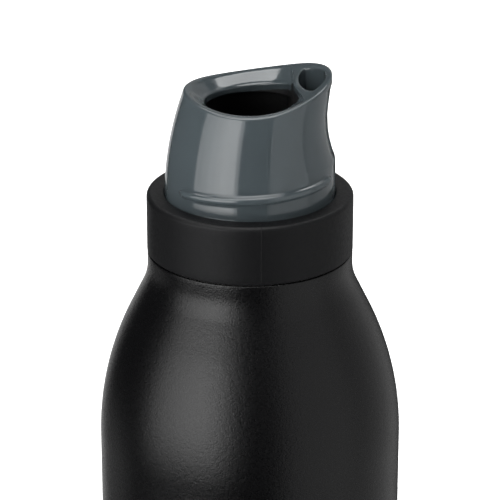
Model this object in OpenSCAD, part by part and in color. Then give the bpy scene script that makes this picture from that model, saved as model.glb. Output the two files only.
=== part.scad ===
// Insulated cycling water bottle: a double-walled steel bottle and a screw lid
// that carries a moulded drinking spout with a wide mouth and a straw port.
// Units are millimetres. The origin is the centre of the base, +Z is up and
// the tall end of the spout points along +X. XZ is the mirror plane of the
// spout; everything else is turned about the Z axis.

/* [Bottle body] */
// Outer diameter of the body, the size bottle cages are made for
body_d = 73; // [72.5:0.1:73.5]
// Height of the sealing face plane at the top of the neck
body_h = 218; // [205:1:235]
// Wall of the outer shell
shell_t = 0.6; // [0.5:0.1:0.8]
// Wall of the inner vessel
vessel_t = 0.5; // [0.4:0.1:0.6]
// Evacuated space between the two walls along the body
vacuum_gap = 2.2; // [1.8:0.1:2.6]
// Radius of the bottom edge
foot_r = 5; // [4:0.5:6]
// Height of the floor of the inner vessel above the table
floor_z = 7; // [6.5:0.5:9]

/* [Neck and shoulder] */
// Outer radius of the neck
neck_r = 24.47; // [24.4:0.01:24.5]
// Straight length of the neck under the lid
neck_straight = 3.13; // [3:0.01:3.3]
// Hollow curve under the neck
shoulder_r1 = 14.2; // [14.2:0.1:14.2]
// Full curve that runs into the side
shoulder_r2 = 72.9; // [72.9:0.1:72.9]
// Slope of the shoulder between the two curves, from upright
shoulder_a = 26.28; // [26.28:0.01:26.28]
// Bore of the neck
bore_r = 22.4; // [22.4:0.05:22.5]

/* [Lid thread] */
// Rise of the lid in one turn
lid_lead = 5; // [4.8:0.1:5.2]
// Length of each thread ridge, in turns
lid_thread_turns = 1.2; // [1:0.05:1.25]

/* [Collar] */
// Outer radius of the collar
collar_r = 24.53; // [24.5:0.01:24.6]
// Height from the neck plane to the top of the collar
collar_h = 14.42; // [14.2:0.01:14.8]
// Fillet round the top edge of the collar
collar_fillet = 1.1; // [0.8:0.1:1.4]
// Gap that shows between the neck and the collar
lid_gap = 0.3; // [0.25:0.05:0.35]

/* [Spout] */
// Radius of the foot of the spout
spout_r = 20.3; // [20.2:0.05:20.3]
// Radius of the rim along the mirror plane, seen from above
rim_r = 17.3; // [17.1:0.1:17.4]
// How far the rim sits towards the tall end
rim_shift = 1.9; // [1.7:0.1:2.1]
// Height of the lowest point of the rim above the collar
rim_h = 24.05; // [23.9:0.05:24.3]
// Width of the rounded lip
lip_w = 1.4; // [1.3:0.1:1.5]
// Radius of the throat edge of the drinking mouth
throat_r = 11.45; // [11.3:0.05:11.6]
// Depth of the dished funnel from lip to throat
dish_d = 1.9; // [1.7:0.1:2]
// Distance from the axis to the wall between mouth and straw port
divider_x = 10.4; // [10.3:0.05:10.5]

/* [Straw] */
// Outer radius of the straw
straw_r = 4.2; // [4.1:0.05:4.2]
// Distance from the bottle axis to the straw
straw_x = 11.2; // [11.2:0.1:11.2]
// Clearance from the straw's end to the floor
straw_clear = 9.5; // [9.5:0.5:12]

/* [Hidden] */
$fn = 96;

body_r = body_d / 2;
slope_l = (body_r - neck_r - (shoulder_r1 + shoulder_r2) * (1 - cos(shoulder_a))) / sin(shoulder_a);
sh_z = body_h - neck_straight - (shoulder_r1 + shoulder_r2) * sin(shoulder_a) - slope_l * cos(shoulder_a);
rim_top = body_h - lid_gap / 2;      // sealing face of the neck
lid_bot = body_h + lid_gap / 2;      // lower edge of the collar
top_z = body_h + collar_h;           // top face of the collar, foot of the spout
web_t = 2.2;                         // ring of the collar round the spout
insert_r = 22.37;
root_r = 20.9;                       // body of the male thread
EPS = 0.02;

// Side and shoulder of the body, set in by d; from the side up to the neck
function arc(cx, cz, r, a0, a1, n) =
    [for (i = [0:n]) let (a = a0 + (a1 - a0) * i / n) [cx + r * cos(a), cz + r * sin(a)]];
function full_arc(d, a1) = arc(body_r - shoulder_r2, sh_z, shoulder_r2 - d, 0, a1, 20);
function hollow_arc(d) = arc(neck_r + shoulder_r1, body_h - neck_straight, shoulder_r1 + d,
                             180 + shoulder_a, 180, 12);
function rev(v) = [for (i = [len(v) - 1:-1:0]) v[i]];

// Closed body through a list of closed outlines with equal point counts
module loft(rows) {
    m = len(rows);
    n = len(rows[0]);
    c0 = centre(rows[0]);
    c1 = centre(rows[m - 1]);
    pts = concat([for (r = rows) for (p = r) p], [c0, c1]);
    polyhedron(points = pts, faces = concat(
        [for (i = [0:m - 2]) for (j = [0:n - 1])
            [i * n + j, (i + 1) * n + j, (i + 1) * n + (j + 1) % n]],
        [for (i = [0:m - 2]) for (j = [0:n - 1])
            [i * n + j, (i + 1) * n + (j + 1) % n, i * n + (j + 1) % n]],
        [for (j = [0:n - 1]) [m * n, j, (j + 1) % n]],
        [for (j = [0:n - 1]) [m * n + 1, (m - 1) * n + (j + 1) % n, (m - 1) * n + j]]));
}
function centre(v) = [for (k = [0:2]) sum([for (p = v) p[k]]) / len(v)];
function sum(v, i = 0) = i < len(v) ? v[i] + sum(v, i + 1) : 0;

// One right-hand thread ridge. Its flank runs from r0 at the wall to r1 at the crest.
module ridge(r0, r1, w0, w1, z0, lead, a0, a1, step, fade) {
    n = ceil((a1 - a0) / step);
    function up(a) = max(0.05, min(1, (a - a0) / fade, (a1 - a) / fade));
    rings = [for (i = [0:n]) let (a = a0 + (a1 - a0) * i / n, z = z0 + lead * (a - a0) / 360,
                                  u = up(a), rc = r0 + (r1 - r0) * u)
        [[r0 * cos(a), r0 * sin(a), z - w0 / 2],
         [rc * cos(a), rc * sin(a), z - w1 / 2 * u],
         [rc * cos(a), rc * sin(a), z + w1 / 2 * u],
         [r0 * cos(a), r0 * sin(a), z + w0 / 2]]];
    pts = [for (r = rings) for (p = r) p];
    flip = r1 > r0;
    f = concat([[3, 2, 1, 0]], [for (i = [0:n - 1]) for (k = [0:3])
                   [i * 4 + k, i * 4 + (k + 1) % 4, (i + 1) * 4 + k]],
               [for (i = [0:n - 1]) for (k = [0:3])
                   [i * 4 + (k + 1) % 4, (i + 1) * 4 + (k + 1) % 4, (i + 1) * 4 + k]],
               [[n * 4, n * 4 + 1, n * 4 + 2, n * 4 + 3]]);
    polyhedron(points = pts, faces = flip ? f : [for (q = f) rev(q)]);
}

// Outer shell: one drawn wall with a rolled foot, open in the middle of the base
module outer_shell() {
    color("#1d1e20") rotate_extrude() polygon(concat(
        [[28, 0]],
        arc(body_r - foot_r, foot_r, foot_r, -90, 0, 12),
        full_arc(0, shoulder_a), hollow_arc(0),
        [[neck_r, rim_top - 0.25], [neck_r - 0.25, rim_top], [neck_r - shell_t, rim_top]],
        rev(hollow_arc(shell_t)), rev(full_arc(shell_t, shoulder_a)),
        rev(arc(body_r - foot_r, foot_r, foot_r - shell_t, -90, 0, 12)),
        [[28, shell_t]]));
}

// Inner vessel: the cup that holds the drink, with a rolled sealing rim and
// the thread of the neck
module inner_vessel() {
    d0 = shell_t + vacuum_gap;
    d1 = d0 + vessel_t;
    zn = body_h - 12;
    cr = 6;
    color("#b9bbbd") union() {
        rotate_extrude() polygon(concat(
            [[0, floor_z]],
            arc(body_r - d1 - cr, floor_z + cr, cr, -90, 0, 10),
            full_arc(d1, 22),
            [[bore_r, zn], [bore_r, rim_top - 0.3], [bore_r + 0.3, rim_top],
             [neck_r - shell_t, rim_top], [neck_r - shell_t, rim_top - 0.6],
             [bore_r + vessel_t, rim_top - 0.6],
             [bore_r + vessel_t, zn]],
            rev(full_arc(d0, 22)),
            rev(arc(body_r - d1 - cr, floor_z + cr, cr + vessel_t, -90, 0, 10)),
            [[0, floor_z - vessel_t]]));
        ridge(bore_r + 0.25, bore_r - 1, 2.2, 1, body_h - 9.2, lid_lead,
              0, 360 * lid_thread_turns, 15, 20);
    }
}

// Base plate: pressed disc welded into the foot, with a sunk middle for the
// evacuation port
module base_plate() {
    color("#1d1e20") rotate_extrude() polygon(concat(
        [[0.8, 3.4], [4, 3.4], [5, 2]],
        [[26.2, 2]], arc(26.2, 1, 1, 90, 0, 6),
        [[27.2, 0], [28, 0]], arc(26.2, 0.8, 1.8, 0, 90, 8),
        [[5.6, 2.6], [4.5, 4], [0.8, 4]]));
}

// Glass bead that closes the evacuation port
module sealing_bead() {
    color("#6f7f6a") difference() {
        translate([0, 0, 3.4]) sphere(r = 1.7, $fn = 48);
        translate([0, 0, 5.39]) cube([6, 6, 4], center = true);
        rotate_extrude() polygon([[0.78, 3.39], [6, 3.39], [6, 8], [0.78, 8]]);
        translate([0, 0, 4.6]) cube([6, 6, 1.2], center = true);
    }
}

// Thin cover pressed into the sunk middle of the base plate
module port_cover() {
    color("#1d1e20") translate([0, 0, 1.15]) cylinder(r = 4.9, h = 0.5);
}

// Gas-binding pellet in the evacuated space
module getter() {
    color("#55504a") translate([15, 0, 2.6]) cylinder(r = 5, h = 1.6, $fn = 48);
}

// Sheet strap that holds the pellet, welded to the base plate
module getter_clip() {
    color("#a7a9ab") difference() {
        translate([15, 0, 3.55]) cube([3.4, 17, 1.9], center = true);
        translate([15, 0, 2.6]) cylinder(r = 5.02, h = 1.62, $fn = 48);
        translate([15, 7.3, 4]) cube([5, 3.2, 2.2], center = true);
        translate([15, -7.3, 4]) cube([5, 3.2, 2.2], center = true);
    }
}

// Bright foil wrapped round the inner vessel
module reflective_foil() {
    d = shell_t + vacuum_gap;
    color("#b87350") difference() {
        translate([0, 0, 18]) cylinder(r = body_r - d + 0.2, h = 148);
        translate([0, 0, 17]) cylinder(r = body_r - d + 0.05, h = 150);
    }
}

// Flat silicone ring between the collar and the sealing rim
module lid_gasket() {
    color("#3a3b3d") translate([0, 0, rim_top + EPS]) difference() {
        cylinder(r = 23.7, h = 1.33);
        translate([0, 0, -1]) cylinder(r = 22, h = 4);
    }
}

// Round seal between the spout's skirt and the insert
module spout_seal() {
    color("#3a3b3d") rotate_extrude() translate([19.82, body_h + 7.5]) circle(r = 0.5, $fn = 24);
}

// Threaded insert: carries the male thread and backs the spout
module threaded_insert() {
    color("#26272a") union() {
        rotate_extrude() polygon([
            [18.3, body_h - 12], [root_r - 0.5, body_h - 12], [root_r, body_h - 11.5],
            [root_r, body_h + 1.25], [insert_r, body_h + 1.25], [insert_r, body_h + 11.2],
            [20.35, body_h + 11.2], [20.35, body_h + 3], [18.3, body_h + 3]]);
        // hangs 1.4 mm under the ridge of the neck, so that turning draws the lid down
        ridge(root_r - 0.25, root_r + 1, 2.2, 1, body_h - 10.6, lid_lead,
              0, 360 * lid_thread_turns, 15, 20);
        ring_rib();
    }
}
// Low rib that centres the insert under the collar
module ring_rib() {
    translate([0, 0, body_h + 9]) difference() {
        cylinder(r = insert_r + EPS, h = 0.6);
        translate([0, 0, -1]) cylinder(r = 21, h = 3);
    }
}

// Collar: smooth outer ring of the lid
module collar() {
    color("#1f2022") rotate_extrude() polygon(concat(
        [[23.8, lid_bot], [collar_r - 0.35, lid_bot], [collar_r, lid_bot + 0.35]],
        arc(collar_r - collar_fillet, top_z - collar_fillet, collar_fillet, 0, 90, 8),
        [[20.6, top_z], [20.4, top_z - 0.2], [20.4, top_z - web_t], [22.4, top_z - web_t],
         [22.4, body_h + 1.25], [23.8, body_h + 1.25]]));
}

// Rim height above the collar at a distance x from the axis
function rim(x) = rim_h + 0.0098 * pow(x + 4.2, 2);
// Height fraction that sets the taper of the spout
function taper(h) = pow(max(0, min(1, h / 25.5)), 1.9);
// Hollow that is pressed into the outside under the tall end: depth and reach
function hollow_a(h) = lookup(h, [[8.4, 0.6], [9.5, 1.1], [11.2, 1.42], [13.5, 1.64], [16, 1.71],
                                  [19, 1.7], [21, 1.47], [24, 0.86], [26, 0.4], [27.6, 0]]);
function hollow_k(h) = lookup(h, [[8.4, 1], [9.5, 0.64], [11.2, 0.41], [13.5, 0.22], [16, 0.11],
                                  [22, 0.14], [28, 0.2]]);
// Rim radius by direction, a little wider across the mirror plane
function rim_o(a) = rim_r + 0.3 * pow(sin(a), 2);
function side_r(a, h) = spout_r - 0.1 - (spout_r - 0.1 - rim_o(a)) * taper(h)
    - max(0, hollow_a(h) * (cos(a) - hollow_k(h)));
function side_pt(a, h) = let (r = side_r(a, h), c = rim_shift * taper(h))
    [c + r * cos(a), r * sin(a), top_z + h];

// Solid outer form of the spout up to the rounded lip and the saddle-shaped top
module spout_form(n = 60, m = 16) {
    lip = 0.7;
    rows = concat(
        [for (i = [0:m]) [for (j = [0:n - 1]) let (a = 360 * j / n,
            ht = rim(rim_shift + rim_o(a) * cos(a)) - lip) side_pt(a, (ht + 1) * i / m - 1)]],
        [for (i = [1:3]) let (b = 90 * i / 3) [for (j = [0:n - 1]) let (a = 360 * j / n,
            r = rim_o(a) - lip + lip * cos(b), x = rim_shift + r * cos(a))
            [x, r * sin(a), top_z + rim(rim_shift + rim_o(a) * cos(a)) - lip + lip * sin(b)]]],
        [for (r = [rim_r - 1.2, 8, 0.5]) [for (j = [0:n - 1]) let (a = 360 * j / n,
            x = rim_shift + r * cos(a)) [x, r * sin(a), top_z + rim(x)]]]);
    loft(rows);
}

// Rounded smaller of two lengths
function smin(a, b, k) = let (h = max(k - abs(a - b), 0) / k) min(a, b) - h * h * k / 4;
// Outline of the drinking mouth, a circle cut off by the divider; t is 0 at the lip
// and 1 at the throat, where it is smaller, off centre and has tighter corners
function mouth_c(t) = rim_shift - t;
function mouth_r(a, t) = let (r = rim_r - lip_w - (rim_r - lip_w - throat_r) * t)
    cos(a) <= 0.05 ? r
    : smin(r, (divider_x - mouth_c(t) + pow(min(r, 12) * sin(a), 2) / 95) / cos(a), 1.6 + 3.4 * pow(1 - t, 2));
function mouth_row(t, drop, up) = [for (j = [0:59]) let (a = 6 * j, q = mouth_r(a, t))
    [mouth_c(t) + q * cos(a), q * sin(a), top_z + rim(mouth_c(t) + q * cos(a)) - drop + up]];
module mouth_cut() {
    loft(rev(concat(
        [mouth_row(0, 0, 4)],
        [for (i = [0:4]) let (t = i / 4) mouth_row(t, 0.2 + (dish_d - 0.2) * (1 - pow(1 - t, 1.15)), 0)],
        [[for (j = [0:59]) let (a = 6 * j, q = mouth_r(a, 1))
            [mouth_c(1) + q * cos(a), q * sin(a), top_z + 20.4]]])));
}

// Outline of the straw port: half an ellipse towards the divider, round outwards
function port_r(a, far, wide, near) = cos(a) < 0
    ? 1 / sqrt(pow(cos(a) / near, 2) + pow(sin(a) / wide, 2))
    : smin(wide / max(0.05, abs(sin(a))), -7.5 * cos(a) + sqrt(pow(far, 2) - pow(7.5 * sin(a), 2)), 1.2);
module port_cut() {
    loft(rev([for (v = [[32, 11.05, 7.9, 2.6], [27.8, 11.05, 7.9, 2.6], [25, 10.7, 7.8, 2.6],
                        [22, 10.1, 7.5, 2.65], [19, 9.8, 7.2, 2.8], [14.5, 9.7, 6.6, 2.95],
                        [12, 9.6, 6, 2.95], [9, 9.6, 5.6, 2.95]])
        [for (j = [0:35]) let (a = 10 * j, q = port_r(a, v[1], v[2], v[3]))
            [14.2 + q * cos(a), q * sin(a), top_z + v[0]]]]));
}

// Wide space inside the spout below the throat
module spout_space() {
    difference() {
        union() {
            translate([0.4, 0, top_z]) cylinder(r1 = 17.1, r2 = 15.2, h = 20.9);
            translate([0, 0, body_h + 2]) cylinder(r = 17.6, h = collar_h - 2 + 1);
        }
        // chamber of the straw port and the tube below it stay solid
        translate([divider_x + 0.15, -25, top_z + 12.5]) cube([20, 50, 20]);
        translate([straw_x, 0, body_h]) cylinder(r = 7.2, h = collar_h + 14);
    }
}

// Spout: moulded in one piece, with the cap thread round its foot
module spout() {
    $fn = 60;
    color("#8a8f95") difference() {
        union() {
            spout_form();
            rotate_extrude() polygon([
                [0, top_z - 0.05], [spout_r, top_z - 0.05], [spout_r, body_h + 12.1],
                [20.72, body_h + 11.95], [20.72, body_h + 11.7], [spout_r, body_h + 11.4],
                [spout_r, body_h + 8.4], [19.3, body_h + 8.4], [19.3, body_h + 6.6],
                [spout_r, body_h + 6.6], [spout_r, body_h + 3.05], [0, body_h + 3.05]]);
            for (s = [0, 180]) rotate([0, 0, s])
                ridge(19.7, 21.2, 2.3, 1.2, top_z + 4.1, 5.76, -152, -27, 12.5, 9);
        }
        spout_space();
        mouth_cut();
        port_cut();
        translate([straw_x, 0, body_h]) cylinder(r = 3.4, h = collar_h + 11.5);
        translate([straw_x, 0, body_h]) cylinder(r = 5.42, h = collar_h + 6.5);
    }
}

// Silicone sleeve that grips the straw
module straw_bushing() {
    color("#3a3b3d") translate([straw_x, 0, body_h + 2.05]) difference() {
        union() {
            cylinder(r = 5.4, h = 16);
            cylinder(r = 6.3, h = 0.98);
        }
        translate([0, 0, -1]) cylinder(r = straw_r + 0.05, h = 10.2);
        translate([0, 0, -1]) cylinder(r = 3.4, h = 20);
    }
}

// Straw: straight tube with a slanted foot so that it can't seal on the floor
module straw() {
    z0 = floor_z + straw_clear;
    z1 = body_h + 11.1;
    color("#9aa0a6") translate([straw_x, 0, z0]) difference() {
        cylinder(r = straw_r, h = z1 - z0);
        translate([0, 0, -1]) cylinder(r = straw_r - 0.9, h = z1 - z0 + 2);
        rotate([0, -30, 0]) translate([-12, -10, -12.6]) cube([24, 20, 10]);
    }
}

outer_shell();
inner_vessel();
base_plate();
sealing_bead();
port_cover();
getter();
getter_clip();
reflective_foil();
lid_gasket();
spout_seal();
threaded_insert();
collar();
spout();
straw_bushing();
straw();
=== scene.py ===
import math
import bpy
import numpy as np
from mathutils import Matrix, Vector


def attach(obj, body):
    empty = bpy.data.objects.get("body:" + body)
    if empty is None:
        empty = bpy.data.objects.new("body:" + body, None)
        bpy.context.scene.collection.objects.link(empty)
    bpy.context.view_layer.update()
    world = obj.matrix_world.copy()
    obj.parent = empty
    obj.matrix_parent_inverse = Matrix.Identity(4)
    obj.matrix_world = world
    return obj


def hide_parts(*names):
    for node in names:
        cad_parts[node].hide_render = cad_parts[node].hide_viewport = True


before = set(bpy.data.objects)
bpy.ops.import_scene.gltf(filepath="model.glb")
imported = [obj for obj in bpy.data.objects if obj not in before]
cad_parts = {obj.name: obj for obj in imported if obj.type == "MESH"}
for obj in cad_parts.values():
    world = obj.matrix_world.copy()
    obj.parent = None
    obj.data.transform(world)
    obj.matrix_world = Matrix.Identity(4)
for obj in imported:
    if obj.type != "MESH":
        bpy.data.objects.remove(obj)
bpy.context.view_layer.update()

MM = 0.001
Z0 = 218.0                       # neck plane
TOP = Z0 + 14.42                 # top face of the collar

# ---------------------------------------------------------------- camera
AZ, EL, DIST = math.radians(-6.5), math.radians(22.04), 0.6566
target = Vector((0, 0, (Z0 - 0.834) * MM))
back = Vector((math.sin(AZ) * math.cos(EL), -math.cos(AZ) * math.cos(EL), math.sin(EL)))
cam_data = bpy.data.cameras.new("camera")
cam_data.lens = 198.0
cam_data.sensor_width = 36.0
cam_data.clip_start = 0.01
cam_data.clip_end = 50
cam = bpy.data.objects.new("camera", cam_data)
bpy.context.scene.collection.objects.link(cam)
cam.location = target + back * DIST
cam.rotation_euler = (target - cam.location).to_track_quat("-Z", "Y").to_euler()
bpy.context.scene.camera = cam
bpy.context.scene.view_settings.view_transform = "Standard"
bpy.context.scene.view_settings.look = "None"


# ---------------------------------------------------------------- node helpers
class Mat:
    """A node material under construction."""

    def __init__(self, name):
        self.m = bpy.data.materials.new(name)
        self.m.use_nodes = True
        self.t = self.m.node_tree
        self.bsdf = self.t.nodes["Principled BSDF"]
        self.coord = self.t.nodes.new("ShaderNodeTexCoord")

    def new(self, kind, **vals):
        n = self.t.nodes.new(kind)
        for k, v in vals.items():
            if hasattr(n, k) and k not in n.inputs:
                setattr(n, k, v)
            else:
                n.inputs[k].default_value = v
        return n

    def link(self, a, b):
        self.t.links.new(a, b)

    def noise(self, scale, detail=3.0, rough=0.5, stretch=None):
        n = self.new("ShaderNodeTexNoise", Scale=scale, Detail=detail, Roughness=rough)
        if stretch:
            mp = self.new("ShaderNodeMapping")
            mp.inputs["Scale"].default_value = stretch
            self.link(self.coord.outputs["Object"], mp.inputs["Vector"])
            self.link(mp.outputs["Vector"], n.inputs["Vector"])
        else:
            self.link(self.coord.outputs["Object"], n.inputs["Vector"])
        return n.outputs["Fac"]

    def remap(self, src, a0, a1, b0, b1, smooth=False):
        n = self.new("ShaderNodeMapRange")
        if smooth:
            n.interpolation_type = "SMOOTHSTEP"
        n.inputs["From Min"].default_value = a0
        n.inputs["From Max"].default_value = a1
        n.inputs["To Min"].default_value = b0
        n.inputs["To Max"].default_value = b1
        self.link(src, n.inputs["Value"])
        return n.outputs["Result"]

    def math(self, op, a, b=None):
        n = self.new("ShaderNodeMath", operation=op)
        for i, v in enumerate((a, b)):
            if v is None:
                continue
            if isinstance(v, (int, float)):
                n.inputs[i].default_value = v
            else:
                self.link(v, n.inputs[i])
        return n.outputs[0]

    def ramp(self, fac, stops):
        n = self.new("ShaderNodeValToRGB")
        el = n.color_ramp.elements
        el[0].position, el[0].color = stops[0][0], (*stops[0][1], 1)
        el[1].position, el[1].color = stops[-1][0], (*stops[-1][1], 1)
        for p, c in stops[1:-1]:
            e = el.new(p)
            e.color = (*c, 1)
        self.link(fac, n.inputs["Fac"])
        return n.outputs["Color"]

    def bump(self, layers):
        """layers: (height socket, distance in metres)."""
        prev = None
        for h, d in layers:
            b = self.new("ShaderNodeBump", Strength=1.0, Distance=d)
            self.link(h, b.inputs["Height"])
            if prev:
                self.link(prev, b.inputs["Normal"])
            prev = b.outputs["Normal"]
        self.link(prev, self.bsdf.inputs["Normal"])

    def set(self, **vals):
        for k, v in vals.items():
            self.bsdf.inputs[k.replace("_", " ")].default_value = v


def mat_powder():
    m = Mat("powder_coat")
    fine = m.noise(2600, 4, 0.55)
    wide = m.noise(900, 2, 0.5)
    tone = m.noise(35, 3, 0.5)
    mix = m.math("ADD", m.math("MULTIPLY", fine, 0.7), m.math("MULTIPLY", tone, 0.3))
    m.link(m.ramp(mix, [(0.3, (0.0009, 0.0009, 0.0011)), (0.7, (0.0015, 0.0015, 0.0018))]),
           m.bsdf.inputs["Base Color"])
    m.link(m.remap(fine, 0.3, 0.7, 0.24, 0.33), m.bsdf.inputs["Roughness"])
    m.bump([(wide, 0.00004), (fine, 0.00006)])
    m.set(IOR=1.37)
    return m.m


def parting(m, at, half):
    """1 on the mould's parting plane x = at (mm), fading to 0 at half (mm) either side."""
    sep = m.new("ShaderNodeSeparateXYZ")
    m.link(m.coord.outputs["Object"], sep.inputs[0])
    off = m.math("ABSOLUTE", m.math("SUBTRACT", sep.outputs[0], at * MM))
    return m.remap(off, 0.3 * half * MM, half * MM, 1.0, 0.0, smooth=True)


def mat_collar():
    m = Mat("collar_plastic")
    fine = m.noise(3800, 3, 0.6)
    wide = m.noise(1300, 2, 0.5)
    m.link(m.ramp(fine, [(0.3, (0.0022, 0.0023, 0.0027)), (0.7, (0.0032, 0.0033, 0.0038))]),
           m.bsdf.inputs["Base Color"])
    m.link(m.remap(wide, 0.3, 0.7, 0.44, 0.54), m.bsdf.inputs["Roughness"])
    m.bump([(wide, 0.00002), (fine, 0.00003), (parting(m, -0.1, 0.16), 0.00006)])
    m.set(IOR=1.28)
    return m.m


def mat_spout():
    m = Mat("spout_plastic")
    tone = m.noise(60, 3, 0.5)
    fine = m.noise(2600, 3, 0.5)
    base = m.ramp(tone, [(0.3, (0.040, 0.050, 0.055)), (0.7, (0.043, 0.054, 0.059))])
    # painted shade: the base colour fades to near black in the depth of the sip port, standing in for the shade
    # that falls there
    sep = m.new("ShaderNodeSeparateXYZ")
    m.link(m.coord.outputs["Object"], sep.inputs[0])
    ex = m.math("DIVIDE", m.math("SUBTRACT", sep.outputs[0], 14.0 * MM), 3.6 * MM)
    ey = m.math("DIVIDE", sep.outputs[1], 8.4 * MM)
    near = m.math("LESS_THAN", m.math("ADD", m.math("MULTIPLY", ex, ex), m.math("MULTIPLY", ey, ey)), 1.0)
    painted_port_shade = m.remap(sep.outputs[2], (TOP + 20.0) * MM, (TOP + 25.5) * MM, 1.0, 0.0, smooth=True)
    mix = m.new("ShaderNodeMix", data_type="RGBA")
    m.link(m.math("MULTIPLY", near, painted_port_shade), mix.inputs["Factor"])
    m.link(base, mix.inputs[6])
    # near-black colour of the painted shade in the port's depth
    mix.inputs[7].default_value = (0.004, 0.0045, 0.005, 1)
    m.link(mix.outputs[2], m.bsdf.inputs["Base Color"])
    m.link(m.remap(fine, 0.3, 0.7, 0.065, 0.11), m.bsdf.inputs["Roughness"])
    m.bump([(fine, 0.000006), (parting(m, 1.7, 0.14), 0.000012)])
    m.set(IOR=1.5, Subsurface_Weight=0.6, Subsurface_Scale=0.0012)
    m.bsdf.inputs["Subsurface Radius"].default_value = (1.0, 1.05, 0.95)
    return m.m


def mat_inner_black():
    m = Mat("inner_black")
    fine = m.noise(1800, 3, 0.5)
    m.link(m.ramp(fine, [(0.3, (0.004, 0.004, 0.0045)), (0.7, (0.006, 0.006, 0.0065))]),
           m.bsdf.inputs["Base Color"])
    m.link(m.remap(fine, 0.3, 0.7, 0.4, 0.5), m.bsdf.inputs["Roughness"])
    return m.m


def mat_steel(name="bare_steel", tint=(0.62, 0.615, 0.60), r0=0.22, r1=0.38):
    m = Mat(name)
    brush = m.noise(1.0, 4, 0.6, stretch=(700, 700, 60))
    m.link(m.ramp(brush, [(0.3, tuple(0.9 * c for c in tint)), (0.7, tint)]),
           m.bsdf.inputs["Base Color"])
    m.link(m.remap(brush, 0.3, 0.7, r0, r1), m.bsdf.inputs["Roughness"])
    m.bump([(brush, 0.000008)])
    m.set(Metallic=1.0)
    return m.m


def mat_plain(name, lo, hi, rough, scale=900, bump=0.00001, metallic=0.0, **more):
    m = Mat(name)
    n = m.noise(scale, 3, 0.5)
    m.link(m.ramp(n, [(0.3, lo), (0.7, hi)]), m.bsdf.inputs["Base Color"])
    m.link(m.remap(n, 0.3, 0.7, rough[0], rough[1]), m.bsdf.inputs["Roughness"])
    m.bump([(n, bump)])
    m.set(Metallic=metallic, **more)
    return m.m


POWDER = mat_powder()
COLLAR = mat_collar()
SPOUT = mat_spout()
INNER = mat_inner_black()
STEEL = mat_steel()
SILICONE = mat_plain("seal_silicone", (0.020, 0.021, 0.022), (0.030, 0.031, 0.033), (0.45, 0.6))
STRAW = mat_plain("straw_plastic", (0.33, 0.35, 0.37), (0.37, 0.39, 0.41), (0.22, 0.32),
                  scale=400, bump=0.000005)
COPPER = mat_plain("copper_foil", (0.66, 0.36, 0.23), (0.76, 0.45, 0.30), (0.16, 0.30),
                   scale=300, bump=0.00004, metallic=1.0)
PELLET = mat_plain("getter_alloy", (0.10, 0.095, 0.09), (0.17, 0.16, 0.15), (0.6, 0.8),
                   scale=4000, bump=0.00005, metallic=0.6)
BEAD = mat_plain("bead_glass", (0.20, 0.24, 0.20), (0.27, 0.31, 0.27), (0.1, 0.2), scale=1500)


# ---------------------------------------------------------------- mesh helpers
def make_object(name, verts, faces, mats, smooth=True):
    me = bpy.data.meshes.new(name)
    me.from_pydata([tuple(v) for v in verts], [], faces)
    me.validate()
    for m in mats:
        me.materials.append(m)
    if smooth:
        me.polygons.foreach_set("use_smooth", [True] * len(me.polygons))
    me.update()
    o = bpy.data.objects.new(name, me)
    bpy.context.scene.collection.objects.link(o)
    return o


def arc(cx, cz, r, a0, a1, n):
    return [(cx + r * math.cos(math.radians(a0 + (a1 - a0) * i / n)),
             cz + r * math.sin(math.radians(a0 + (a1 - a0) * i / n))) for i in range(n + 1)]


def lathe(name, profile, mats, n=256, closed=True):
    """Turns a closed (r, z) outline in mm about Z. Points on the axis become one vertex."""
    prof = [profile[0]]
    for p in profile[1:]:
        if math.hypot(p[0] - prof[-1][0], p[1] - prof[-1][1]) > 1e-4:
            prof.append(p)
    verts, rings = [], []
    for r, z in prof:
        if r < 1e-6:
            rings.append([len(verts)])
            verts.append((0, 0, z * MM))
        else:
            rings.append(list(range(len(verts), len(verts) + n)))
            for j in range(n):
                a = 2 * math.pi * j / n
                verts.append((r * math.cos(a) * MM, r * math.sin(a) * MM, z * MM))
    faces = []
    m = len(rings)
    for i in range(m if closed else m - 1):
        a, b = rings[i], rings[(i + 1) % m]
        for j in range(n):
            k = (j + 1) % n
            if len(a) == 1 and len(b) == 1:
                continue
            if len(a) == 1:
                faces.append((a[0], b[k], b[j]))
            elif len(b) == 1:
                faces.append((a[j], a[k], b[0]))
            else:
                faces.append((a[j], a[k], b[k], b[j]))
    return make_object(name, verts, faces, mats)


def sharpen(o, angle=35):
    """Keeps turned corners crisp while the curves stay smooth."""
    bpy.context.view_layer.objects.active = o
    for x in bpy.context.selected_objects:
        x.select_set(False)
    o.select_set(True)
    bpy.ops.object.shade_smooth_by_angle(angle=math.radians(angle))
    o.select_set(False)


# ---------------------------------------------------------------- turned pieces
BODY_R, NECK_R, SH_R1, SH_R2, SH_A = 36.5, 24.47, 14.2, 72.9, 26.28
sa, ca = math.sin(math.radians(SH_A)), math.cos(math.radians(SH_A))
slope = (BODY_R - NECK_R - (SH_R1 + SH_R2) * (1 - ca)) / sa
SH_Z = Z0 - 3.13 - (SH_R1 + SH_R2) * sa - slope * ca
RIM = Z0 - 0.15


def full_arc(d, a1, n=48):
    return arc(BODY_R - SH_R2, SH_Z, SH_R2 - d, 0, a1, n)


def hollow_arc(d, n=28):
    return arc(NECK_R + SH_R1, Z0 - 3.13, SH_R1 + d, 180 + SH_A, 180, n)


def steps(p, q, n):
    return [(p[0] + (q[0] - p[0]) * i / n, p[1] + (q[1] - p[1]) * i / n) for i in range(1, n)]


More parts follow.
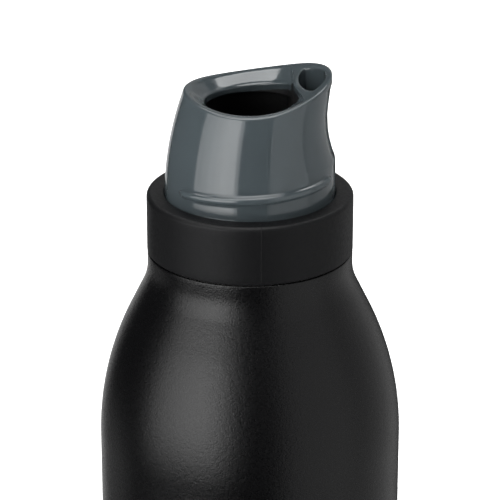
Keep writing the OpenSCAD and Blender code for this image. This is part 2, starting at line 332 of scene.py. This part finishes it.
outer = ([(28, 0), (30, 0)] + arc(31.5, 5, 5, -90, 0, 20) + steps((36.5, 5), (36.5, SH_Z), 30)
         + full_arc(0, SH_A) + hollow_arc(0)
         + [(NECK_R, Z0 - 1.2)] + arc(NECK_R - 0.25, RIM - 0.25, 0.25, 0, 90, 6)
         + [(NECK_R - 0.6, RIM)]
         + hollow_arc(0.6)[::-1] + full_arc(0.6, SH_A)[::-1]
         + arc(31.5, 5, 4.4, -90, 0, 20)[::-1] + [(28, 0.6)])
shell = lathe("outer_shell_smooth", outer, [POWDER], n=320)
sharpen(shell, 40)
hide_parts("outer_shell")
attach(shell, "bottle")

CR = 24.53
col = ([(23.8, Z0 + 0.15), (CR - 0.25, Z0 + 0.15)]
       + arc(CR - 0.25, Z0 + 0.4, 0.25, -90, 0, 6)
       + steps((CR, Z0 + 0.5), (CR, TOP - 1.1), 10)
       + arc(CR - 1.1, TOP - 1.1, 1.1, 0, 90, 12)
       + steps((CR - 1.1, TOP), (20.65, TOP), 3) + arc(20.65, TOP - 0.25, 0.25, 90, 180, 6)
       + [(20.4, TOP - 2.2), (22.4, TOP - 2.2), (22.4, Z0 + 1.25), (23.8, Z0 + 1.25)])
collar = lathe("collar_smooth", col, [COLLAR], n=320)
sharpen(collar, 40)
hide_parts("collar")
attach(collar, "lid")


# ---------------------------------------------------------------- spout
def smax(a, b, r):
    """Larger of two distances with a fillet of radius r where they meet."""
    u, v = np.maximum(a + r, 0), np.maximum(b + r, 0)
    return np.minimum(np.maximum(a, b), -r) + np.sqrt(u * u + v * v)


def smin(a, b, r):
    return -smax(-a, -b, r)


def soft(a, b, k):
    h = np.maximum(k - np.abs(a - b), 0) / k
    return np.minimum(a, b) - h * h * k / 4


def pchip(x, xs, ys):
    """Smooth monotone curve through given points."""
    xs, ys = np.array(xs, float), np.array(ys, float)
    d = np.diff(ys) / np.diff(xs)
    m = np.zeros(len(xs))
    for i in range(1, len(xs) - 1):
        if d[i - 1] * d[i] > 0:
            m[i] = 2 * d[i - 1] * d[i] / (d[i - 1] + d[i])
    m[0], m[-1] = d[0], d[-1]
    x = np.clip(x, xs[0], xs[-1])
    i = np.clip(np.searchsorted(xs, x) - 1, 0, len(d) - 1)
    h = (xs[1:] - xs[:-1])[i]
    t = (x - xs[i]) / h
    return ((2 * t ** 3 - 3 * t ** 2 + 1) * ys[i] + (t ** 3 - 2 * t ** 2 + t) * h * m[i]
            + (-2 * t ** 3 + 3 * t ** 2) * ys[i + 1] + (t ** 3 - t ** 2) * h * m[i + 1])


RIM_H, RIM_K, RIM_X = 24.05, 0.0098, 4.2
SH_T, R_RIM, R_FOOT = 1.9, 17.3, 20.2


def rim(x):
    return RIM_H + RIM_K * (x + RIM_X) ** 2


def spout_field(x, y, h):
    """Signed distance, in mm, to the spout's surface; h is the height above the collar."""
    t = np.clip(h / 25.5, 0, 1) ** 1.9
    cx = SH_T * t
    rr = np.hypot(x - cx, y)
    cph = (x - cx) / np.maximum(rr, 1e-6)
    # hollow under the tall end
    A = pchip(h, [7.6, 8.4, 9.5, 11.2, 13.5, 16, 19, 21, 24, 26, 27.6, 28.2],
              [0.55, 0.75, 1.10, 1.42, 1.64, 1.71, 1.70, 1.47, 0.86, 0.40, 0.0, 0.0])
    K = pchip(h, [7.6, 8.4, 9.5, 11.2, 13.5, 16, 22, 28], [1.25, 1.0, 0.64, 0.41, 0.22, 0.11, 0.14, 0.2])
    dep = A * (cph - K)
    dep = 0.5 * (dep + np.sqrt(dep * dep + 0.0016)) - 0.0
    side = rr - (R_FOOT - (R_FOOT - R_RIM - 0.3 * (1 - cph * cph)) * t - dep)
    # hidden skirt under the collar's ring, with its snap bead and seal groove
    r0 = np.hypot(x, y)
    bead = 20.3 + 0.42 * np.clip(1 - np.abs(h + 2.55) / 0.4, 0, 1)
    groove = np.where((h < -6.02) & (h > -7.82), 19.3, bead)
    skirt = smax(r0 - groove, np.abs(h + 5.72) - 5.65, 0.15)
    upper = smax(side, -h - 1.0, 0.1)
    # top: saddle-shaped rim, and the mouth with its dished funnel
    edge = RIM_K * 2 * (x + RIM_X)
    top_n = np.sqrt(1 + edge ** 2)
    f_top = (h - rim(x)) / top_n
    s = (rim(x) - h) / 1.9
    s = soft(np.maximum(s, 0), 1.0 + 0 * s, 0.22)
    cm = SH_T - s
    r_in = 15.95 - 4.5 * s
    k = 1.6 + 3.4 * (1 - np.minimum(s, 1)) ** 2
    qm = np.maximum(np.hypot(x - cm, y), 1e-6)
    cm_cos = (x - cm) / qm
    cut = np.where(cm_cos > 0.05,
                   (10.4 - cm + np.minimum(y * y, 140) / 95) / np.maximum(cm_cos, 0.05), 400.0)
    m_out = soft(r_in, cut, k)
    w = np.clip(0.5 + (cut - r_in) / (2 * k), 0, 1)
    slope_m = np.where((h < rim(x)) & (s < 0.97), 4.5 / 1.9, 0.0) * w
    mouth = (qm - m_out) / np.sqrt(1 + slope_m ** 2)
    mouth = smax(mouth, 20.2 - h, 0.1)
    top = smax(f_top, -mouth, 0.3)
    body = smax(upper, top, 0.62)
    f = smin(body, skirt, 0.1)
    # cap thread: two right-hand starts
    ang = np.degrees(np.arctan2(y, x))
    for a0 in (-152.0, 28.0):
        u = np.mod(ang - a0 + 60, 360) - 60
        hc = 4.1 + 5.76 * u / 360
        fade = np.clip(np.minimum(u / 9.0, (125 - u) / 9.0), -3, 1)
        fade = np.where(fade > 0, np.sin(np.clip(fade, 0, 1) * np.pi / 2), fade)
        crest = 20.05 + 1.17 * fade
        ridge = smax(r0 - crest, (np.abs(h - hc) - (0.62 + 0.45 * (21.2 - r0)) * np.maximum(fade, 0.2)) * 0.91, 0.4)
        ridge = smax(ridge, 19.4 - r0, 0.05)
        f = smin(f, ridge, 0.35)
    # inside: wide space below the throat, tube of the straw, port
    space = np.hypot(x - 0.4, y) - (17.1 - 1.9 * h / 20.9)
    space = smax(space, h - 20.5, 0.5)
    space = np.minimum(smax(space, -1.0 - h, 0.01), smax(r0 - 17.6, h - 1.0, 0.01))
    tube = np.hypot(x - 11.2, y) - 7.2
    space = smax(space, -smin(smax(tube, h - 14, 0.1), smax(10.5 - x, 12.5 - h, 0.3), 0.5), 0.5)
    f = smax(f, -space, 0.3)
    # sip port
    dx = x - 14.2
    q = np.maximum(np.hypot(dx, y), 1e-6)
    cc, ss = dx / q, y / q
    far = pchip(h, [9, 14.5, 19, 22, 25, 27.8, 32], [9.6, 9.7, 9.8, 10.1, 10.7, 11.05, 11.05])
    wide = pchip(h, [9, 12, 14.5, 19, 22, 25, 27.8, 32], [5.6, 6.0, 6.6, 7.2, 7.5, 7.8, 7.9, 7.9])
    wide = wide * (1 + 0.06 * (y < 0) * np.clip((h - 19) / 4, 0, 1))
    near = pchip(h, [9, 14.5, 19, 22, 25, 32], [2.95, 2.95, 2.8, 2.65, 2.6, 2.6])
    bow = -7.5 * cc + np.sqrt(np.maximum(far ** 2 - (7.5 * ss) ** 2, 0.01))
    out = np.where(cc < 0, 1 / np.sqrt((cc / near) ** 2 + (ss / wide) ** 2),
                   soft(wide / np.maximum(np.abs(ss), 0.05), bow, 1.2))
    port = smax((q - out) * 0.9, 9.0 - h, 0.3)
    bore = smax(np.hypot(x - 11.2, y) - 3.4, h - 11.5, 0.2)
    seat = smax(np.hypot(x - 11.2, y) - 5.42, h - 6.5, 0.1)
    f = smax(f, -smin(port, np.minimum(bore, seat), 0.1), 0.32)
    return f


def surface_net(field, lo, hi, step, rounds=4):
    """Quad mesh of the zero surface of a field on a regular grid, pulled onto the surface."""
    n = [int(round((hi[k] - lo[k]) / step)) + 1 for k in range(3)]
    ax = [np.float32(lo[k]) + np.float32(step) * np.arange(n[k], dtype=np.float32) for k in range(3)]
    f = np.empty(n, np.float32)
    for i in range(0, n[0], 16):
        X, Y, Z = np.meshgrid(ax[0][i:i + 16], ax[1], ax[2], indexing="ij")
        f[i:i + 16] = field(X, Y, Z)
    ins = f < 0
    cells = np.zeros([k - 1 for k in n], np.uint8)
    for dx in (0, 1):
        for dy in (0, 1):
            for dz in (0, 1):
                cells += ins[dx:n[0] - 1 + dx, dy:n[1] - 1 + dy, dz:n[2] - 1 + dz]
    act = (cells > 0) & (cells < 8)
    idx = np.full(act.shape, -1, np.int64)
    ci = np.argwhere(act)
    idx[act] = np.arange(len(ci))
    acc = np.zeros((len(ci), 3))
    cnt = np.zeros(len(ci))
    base = ci
    for a in range(3):
        o1, o2 = [k for k in range(3) if k != a]
        for d1 in (0, 1):
            for d2 in (0, 1):
                p = base.copy()
                p[:, o1] += d1
                p[:, o2] += d2
                q = p.copy()
                q[:, a] += 1
                fp, fq = f[tuple(p.T)], f[tuple(q.T)]
                cross = (fp < 0) != (fq < 0)
                tt = fp / np.where(cross, fp - fq, 1)
                pt = p.astype(float)
                pt[:, a] += tt
                acc[cross] += pt[cross]
                cnt[cross] += 1
    v = acc / cnt[:, None] * step + np.array(lo)
    e = 0.03
    for _ in range(rounds):
        f0 = field(v[:, 0], v[:, 1], v[:, 2])
        g = np.stack([field(v[:, 0] + e * (k == 0), v[:, 1] + e * (k == 1), v[:, 2] + e * (k == 2))
                      - field(v[:, 0] - e * (k == 0), v[:, 1] - e * (k == 1), v[:, 2] - e * (k == 2))
                      for k in range(3)], 1) / (2 * e)
        g2 = np.maximum((g * g).sum(1), 0.05)
        mv = -(f0 / g2)[:, None] * g
        ln = np.linalg.norm(mv, axis=1)
        mv *= np.minimum(1, 0.3 * step / np.maximum(ln, 1e-9))[:, None]
        v += mv
    quads = []
    for a in range(3):
        o1, o2 = (a + 1) % 3, (a + 2) % 3
        sl0 = [slice(1, -1)] * 3
        sl0[a] = slice(0, -1)
        sl1 = list(sl0)
        sl1[a] = slice(1, None)
        cr = ins[tuple(sl0)] != ins[tuple(sl1)]
        p = np.argwhere(cr)
        off = np.array([1, 1, 1])
        off[a] = 0
        p = p + off
        first_in = ins[tuple(p.T)]

        def cell(d1, d2):
            c = p.copy()
            c[:, o1] -= d1
            c[:, o2] -= d2
            return idx[tuple(c.T)]
        qd = np.stack([cell(0, 0), cell(1, 0), cell(1, 1), cell(0, 1)], 1)
        qd[~first_in] = qd[~first_in][:, ::-1]
        quads.append(qd)
    return v, np.concatenate(quads)


grid = 0.26
verts, quads = surface_net(spout_field, (-21.6, -21.6, -12.0), (21.7, 21.7, 30.2), grid)
verts[:, 2] += TOP
me = bpy.data.meshes.new("spout_moulding")
me.vertices.add(len(verts))
me.vertices.foreach_set("co", (verts * MM).astype(np.float32).ravel())
me.loops.add(quads.size)
me.loops.foreach_set("vertex_index", quads.astype(np.int32).ravel())
me.polygons.add(len(quads))
me.polygons.foreach_set("loop_start", np.arange(0, quads.size, 4, dtype=np.int32))
me.polygons.foreach_set("loop_total", np.full(len(quads), 4, np.int32))
me.materials.append(SPOUT)
me.materials.append(INNER)
# faces inside the mouth and on the lower divider wall take the black inner material: partly a dark inner part,
# partly painted shade for the shadowed depth of the mouth
cen = verts[quads].mean(1)
hh = cen[:, 2] - TOP
ri = np.hypot(cen[:, 0] - 0.4, cen[:, 1])
black_inside_and_shade = (hh < 20.45) & (ri < 17.9 - 1.9 * np.clip(hh, -20, 21) / 20.9)
drop = rim(cen[:, 0]) - hh
gap = cen[:, 0] - (10.4 + cen[:, 1] ** 2 / 95)
black_inside_and_shade |= (drop > 3.6) & (np.hypot(cen[:, 0] - 0.9, cen[:, 1]) < 11.9) & (gap < 0.25)
black_inside_and_shade |= (drop > 1.5) & (gap > -0.35) & (gap < 0.25) & (cen[:, 1] < 5.5) & (cen[:, 1] > -12)
me.polygons.foreach_set("material_index", black_inside_and_shade.astype(np.int32))
me.polygons.foreach_set("use_smooth", np.ones(len(quads), bool))
me.update(calc_edges=True)
me.validate()
spout = bpy.data.objects.new("spout_moulding", me)
bpy.context.scene.collection.objects.link(spout)
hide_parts("spout")
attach(spout, "lid")

# ---------------------------------------------------------------- CAD nodes that stay
for node, mat in {"inner_vessel": STEEL, "base_plate": POWDER, "sealing_bead": BEAD,
                  "port_cover": POWDER, "getter": PELLET, "getter_clip": STEEL,
                  "reflective_foil": COPPER, "lid_gasket": SILICONE, "spout_seal": SILICONE,
                  "threaded_insert": COLLAR, "straw_bushing": SILICONE, "straw": STRAW}.items():
    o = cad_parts[node]
    o.data.materials.clear()
    o.data.materials.append(mat)

# ---------------------------------------------------------------- floor and light
fm = Mat("floor_paper")
fn = fm.noise(300, 3, 0.5)
fm.link(fm.ramp(fn, [(0.3, (0.84, 0.84, 0.84)), (0.7, (0.86, 0.86, 0.86))]), fm.bsdf.inputs["Base Color"])
fm.set(Roughness=0.9)
fm.bsdf.inputs["Emission Color"].default_value = (1, 1, 1, 1)
fm.bsdf.inputs["Emission Strength"].default_value = 0.6
FZ = -0.00002
floor = make_object("floor", [(-6, -6, FZ), (6, -6, FZ), (6, 6, FZ), (-6, 6, FZ)], [(0, 1, 2, 3)], [fm.m])
floor.visible_glossy = False


def area(name, az, dist, z0, z1, width, radiance, aim=0.2):
    """Soft box at az degrees round from the camera's side, + to the camera's right."""
    a = AZ - math.pi / 2 + math.radians(az)
    h = z1 - z0
    ld = bpy.data.lights.new(name, "AREA")
    ld.shape = "RECTANGLE"
    ld.size, ld.size_y = width, h
    ld.energy = radiance * math.pi * width * h
    lo = bpy.data.objects.new(name, ld)
    bpy.context.scene.collection.objects.link(lo)
    p = Vector((math.cos(a) * dist, math.sin(a) * dist, (z0 + z1) / 2))
    lo.location = p
    lo.rotation_euler = (Vector((0, 0, p.z)) - p).to_track_quat("-Z", "Y").to_euler()
    lo.visible_camera = False
    return lo


def wide(half):
    return 2 * math.tan(math.radians(half))


for i, (a0, a1, rad) in enumerate([(-80, -70, 2.4), (-70, -60, 3.1), (-60, -50, 3.9), (-50, -42, 4.6),
                                   (-42, -32, 5.1), (-32, -22, 5.1), (-22, -17, 2.4)]):
    area("key_%d" % i, (a0 + a1) / 2, 1.4, -0.24, 1.0, 1.4 * wide((a1 - a0) / 2), rad)
area("fill_right", 55, 1.6, -1.2, 1.4, 1.6 * wide(30), 0.74)
area("fill_side", 120, 1.6, -1.2, 1.4, 1.6 * wide(33), 0.42)
area("low_left", -125, 1.6, -1.3, -0.35, 1.6 * wide(20), 0.22)
area("rim_back", -166, 1.8, -1.2, 0.2, 1.8 * wide(14), 0.7)


def overhead(name, height, right, away, radiance):
    """Soft box overhead, facing down; right and away are spans in the camera's directions."""
    ld = bpy.data.lights.new(name, "AREA")
    ld.shape = "RECTANGLE"
    ld.size, ld.size_y = right[1] - right[0], away[1] - away[0]
    ld.energy = radiance * math.pi * ld.size * ld.size_y
    lo = bpy.data.objects.new(name, ld)
    bpy.context.scene.collection.objects.link(lo)
    u, v = sum(right) / 2, sum(away) / 2
    lo.location = (math.cos(AZ) * u - math.sin(AZ) * v, math.sin(AZ) * u + math.cos(AZ) * v,
                   height)
    lo.rotation_euler = (0, 0, AZ)
    lo.visible_camera = False


overhead("top_back", 2.25, (-1.05, 1.03), (0.80, 1.75), 4.9)
overhead("top_back_right", 2.25, (1.08, 2.1), (0.70, 1.75), 1.5)
overhead("top_front", 2.25, (-1.5, 0.7), (-1.4, 0.2), 5.8)
area("back_low", 168, 1.8, 0.25, 1.1, 1.8 * wide(22), 0.28)

world = bpy.data.worlds.new("studio")
world.use_nodes = True
world.node_tree.nodes["Background"].inputs["Color"].default_value = (1, 1, 1, 1)
world.node_tree.nodes["Background"].inputs["Strength"].default_value = 0.03
bpy.context.scene.world = world
